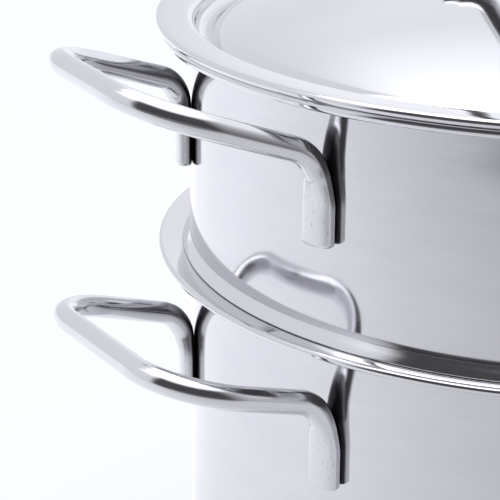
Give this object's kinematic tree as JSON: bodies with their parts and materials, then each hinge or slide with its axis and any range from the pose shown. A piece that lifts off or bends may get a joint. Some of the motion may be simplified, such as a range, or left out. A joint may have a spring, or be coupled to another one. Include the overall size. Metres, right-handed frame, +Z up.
{
  "type": "steamer pot",
  "caption": "Wide stainless steel pot with a perforated steamer tier standing in its mouth, a flat-rimmed domed lid, bent rod side handles and a rod lid handle.",
  "frame": {"origin": "centre of the base on the table", "axes": "+Z up, X through the pot's two side handles, Y across them"},
  "size_m": [0.3958, 0.3062, 0.2686],
  "materials": {
    "vessel_steel": "circumferentially brushed stainless sheet with polished lips",
    "lid_steel": "mirror polished stainless sheet",
    "rod_steel": "polished stainless rod, satin where it is pressed flat",
    "capsule_steel": "satin stainless sheet",
    "core_aluminium": "plain disc, closed in by the capsule"
  },
  "bodies": {
    "pot": {"pot_body": "vessel_steel", "base_core": "core_aluminium", "base_capsule": "capsule_steel", "pot_handle_right": "rod_steel", "pot_handle_left": "rod_steel"},
    "steamer": {"steamer_body": "vessel_steel", "steamer_handle_right": "rod_steel", "steamer_handle_left": "rod_steel"},
    "lid": {"lid": "lid_steel", "lid_handle": "rod_steel"}
  },
  "joints": [
    {"name": "steamer_lift", "type": "slide", "parent": "pot", "child": "steamer", "axis": [0, 0, 1], "range_m": [0, 0.1]},
    {"name": "lid_lift", "type": "slide", "parent": "steamer", "child": "lid", "axis": [0, 0, 1], "range_m": [0, 0.12]}
  ]
}
